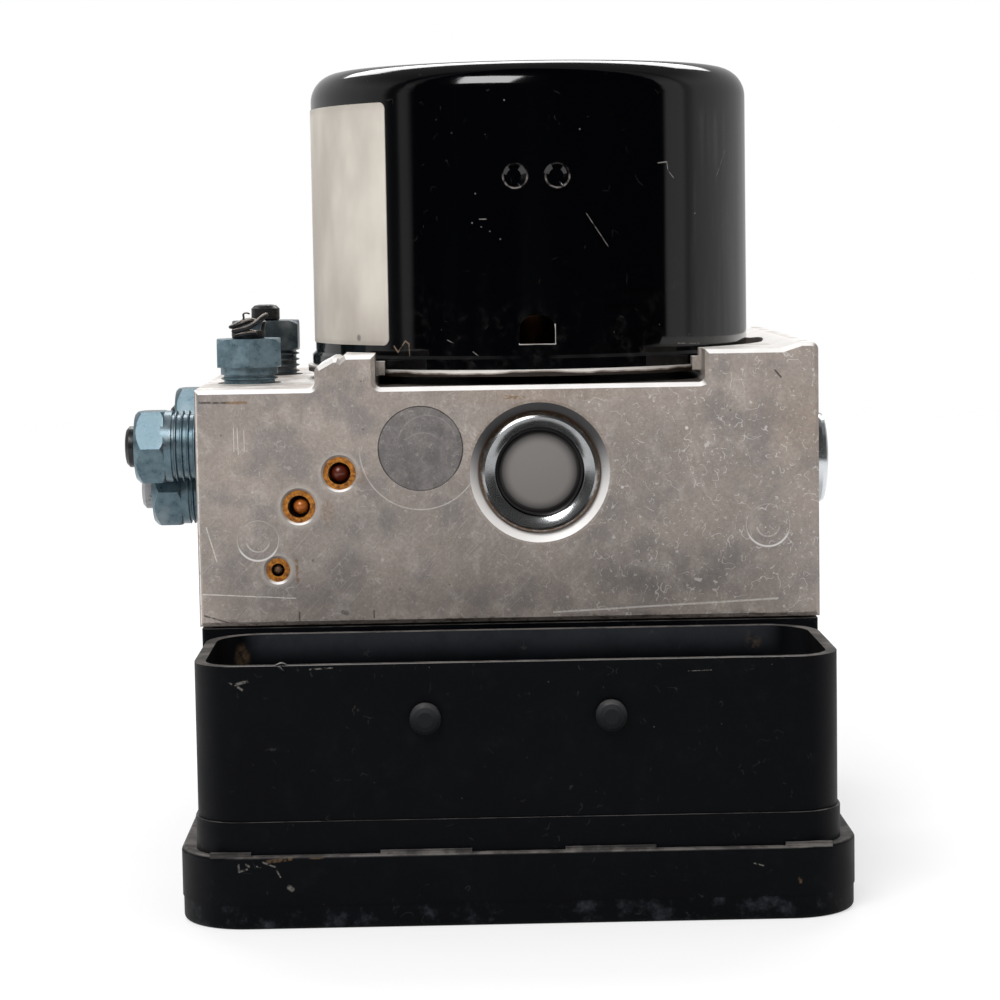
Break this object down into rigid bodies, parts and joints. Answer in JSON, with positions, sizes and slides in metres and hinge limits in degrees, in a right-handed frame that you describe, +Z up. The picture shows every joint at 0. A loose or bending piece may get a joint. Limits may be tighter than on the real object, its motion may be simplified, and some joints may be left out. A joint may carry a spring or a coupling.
{
  "type": "brake hydraulic modulator",
  "caption": "Anti-lock brake module: round pump motor on a drilled metal valve block, over a black control unit with an upward connector socket.",
  "frame": {"origin": "on the flat underside of the control unit, under the motor's axis", "axes": "+Z up along the motor's axis, +X to the right and +Y to the back, away from the connector socket"},
  "size_m": [0.1195, 0.1285, 0.1327],
  "materials": {
    "block_aluminium": "extruded, dull and scratched",
    "motor_black": "black electrophoretic paint",
    "label_white": "bare aged label",
    "housing_black": "glass filled plastic",
    "cap_black": "moulded plastic",
    "zinc_blue": "blue zinc plated steel",
    "steel": "machined steel",
    "grey_steel": "dull grey steel",
    "amber_brass": "amber coated",
    "copper": "copper",
    "carbon": "carbon brush",
    "magnet": "ferrite",
    "board_green": "board laminate",
    "seal_rubber": "seal",
    "brush_plate": "moulded plastic"
  },
  "bodies": {
    "unit": {"accumulator_cover_front": "steel", "accumulator_cover_rear": "steel", "accumulator_spring_front": "steel", "accumulator_spring_rear": "steel", "board_components": "cap_black", "brush_holder": "brush_plate", "brushes": "carbon", "channel_plugs": "amber_brass", "circuit_board": "board_green", "coil_yokes": "steel", "disc_plug": "grey_steel", "ecu_cover": "housing_black", "ecu_gasket": "seal_rubber", "ecu_housing": "housing_black", "ecu_screws": "steel", "field_magnets": "magnet", "front_valves": "steel", "lower_bearing": "steel", "motor_flange": "steel", "motor_housing": "motor_black", "motor_label": "label_white", "motor_terminals": "copper", "power_contacts": "copper", "pump_cover_front": "steel", "pump_cover_rear": "steel", "pump_spring_front": "steel", "pump_spring_rear": "steel", "rear_valves": "steel", "side_plug_1": "zinc_blue", "side_plug_2": "zinc_blue", "side_plug_3": "zinc_blue", "side_plug_4": "zinc_blue", "side_plug_caps": "cap_black", "signal_contacts": "copper", "solenoid_coils": "copper", "top_cap_front": "cap_black", "top_cap_rear": "cap_black", "top_plug_front": "zinc_blue", "top_plug_rear": "zinc_blue", "upper_bearing": "steel", "valve_block": "block_aluminium"},
    "rotor": {"motor_shaft": "steel", "eccentric_bearing": "steel", "rotor_core": "steel", "rotor_windings": "copper", "commutator": "copper"},
    "pump_piston_front_body": {"pump_piston_front": "steel"},
    "pump_piston_rear_body": {"pump_piston_rear": "steel"},
    "accumulator_piston_front_body": {"accumulator_piston_front": "steel"},
    "accumulator_piston_rear_body": {"accumulator_piston_rear": "steel"},
    "valve_plunger_1_body": {"valve_plunger_1": "steel"},
    "valve_plunger_2_body": {"valve_plunger_2": "steel"},
    "valve_plunger_3_body": {"valve_plunger_3": "steel"},
    "valve_plunger_4_body": {"valve_plunger_4": "steel"},
    "valve_plunger_5_body": {"valve_plunger_5": "steel"},
    "valve_plunger_6_body": {"valve_plunger_6": "steel"},
    "valve_plunger_7_body": {"valve_plunger_7": "steel"},
    "valve_plunger_8_body": {"valve_plunger_8": "steel"}
  },
  "joints": [
    {"name": "motor_spin", "type": "hinge", "parent": "unit", "child": "rotor", "pos_m": [0, 0, 0.1], "axis": [0, 0, 1], "continuous": true},
    {"name": "pump_front_stroke", "type": "slide", "parent": "unit", "child": "pump_piston_front_body", "axis": [0, -1, 0], "range_m": [-0.001, 0], "stiffness_N_per_m": 1500, "springref_m": -0.001, "deforming": ["pump_spring_front"]},
    {"name": "pump_rear_stroke", "type": "slide", "parent": "unit", "child": "pump_piston_rear_body", "axis": [0, -1, 0], "range_m": [0, 0.001], "stiffness_N_per_m": 1500, "springref_m": 0.001, "deforming": ["pump_spring_rear"]},
    {"name": "accumulator_front_stroke", "type": "slide", "parent": "unit", "child": "accumulator_piston_front_body", "axis": [1, 0, 0], "range_m": [0, 0.005], "stiffness_N_per_m": 800, "springref_m": -0.004, "deforming": ["accumulator_spring_front"]},
    {"name": "accumulator_rear_stroke", "type": "slide", "parent": "unit", "child": "accumulator_piston_rear_body", "axis": [1, 0, 0], "range_m": [0, 0.005], "stiffness_N_per_m": 800, "springref_m": -0.004, "deforming": ["accumulator_spring_rear"]},
    {"name": "valve_1_lift", "type": "slide", "parent": "unit", "child": "valve_plunger_1_body", "axis": [0, 0, -1], "range_m": [0, 0.0004], "stiffness_N_per_m": 900, "springref_m": -0.0008},
    {"name": "valve_2_lift", "type": "slide", "parent": "unit", "child": "valve_plunger_2_body", "axis": [0, 0, -1], "range_m": [0, 0.0004], "stiffness_N_per_m": 900, "springref_m": -0.0008},
    {"name": "valve_3_lift", "type": "slide", "parent": "unit", "child": "valve_plunger_3_body", "axis": [0, 0, -1], "range_m": [0, 0.0004], "stiffness_N_per_m": 900, "springref_m": -0.0008},
    {"name": "valve_4_lift", "type": "slide", "parent": "unit", "child": "valve_plunger_4_body", "axis": [0, 0, -1], "range_m": [0, 0.0004], "stiffness_N_per_m": 900, "springref_m": -0.0008},
    {"name": "valve_5_lift", "type": "slide", "parent": "unit", "child": "valve_plunger_5_body", "axis": [0, 0, -1], "range_m": [0, 0.0004], "stiffness_N_per_m": 900, "springref_m": -0.0008},
    {"name": "valve_6_lift", "type": "slide", "parent": "unit", "child": "valve_plunger_6_body", "axis": [0, 0, -1], "range_m": [0, 0.0004], "stiffness_N_per_m": 900, "springref_m": -0.0008},
    {"name": "valve_7_lift", "type": "slide", "parent": "unit", "child": "valve_plunger_7_body", "axis": [0, 0, -1], "range_m": [0, 0.0004], "stiffness_N_per_m": 900, "springref_m": -0.0008},
    {"name": "valve_8_lift", "type": "slide", "parent": "unit", "child": "valve_plunger_8_body", "axis": [0, 0, -1], "range_m": [0, 0.0004], "stiffness_N_per_m": 900, "springref_m": -0.0008}
  ]
}
